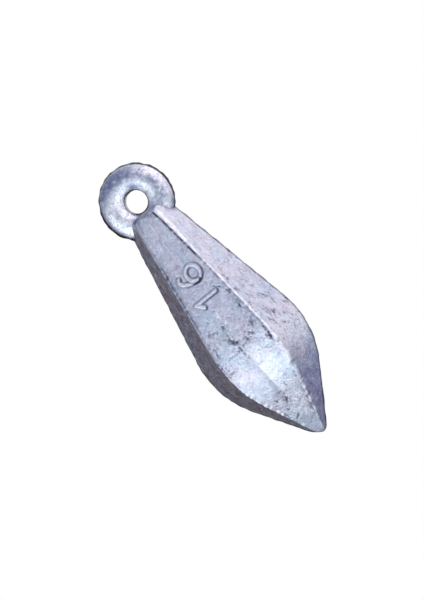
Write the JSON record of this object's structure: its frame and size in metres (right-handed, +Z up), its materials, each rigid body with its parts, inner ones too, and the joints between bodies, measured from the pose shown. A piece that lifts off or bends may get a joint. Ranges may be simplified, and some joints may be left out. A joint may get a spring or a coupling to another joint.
{
  "type": "plumb bob",
  "caption": "Six-sided teardrop lead weight with a blunt point, cast round a thick rounded eye ring that hangs it from a line.",
  "frame": {"origin": "centre of the eye ring's bore, where the bob hangs from its line", "axes": "+Z up along the bob's axis, with the point at -Z; Y along the ring's bore, with the mould's parting plane at Y = 0; X across the two corners on the parting plane"},
  "size_m": [0.0348, 0.0302, 0.1004],
  "materials": {
    "cast_lead": "satin",
    "galvanised_ring": "satin"
  },
  "bodies": {
    "root": {"bob_body": "cast_lead", "eye_ring": "galvanised_ring"}
  },
  "joints": []
}
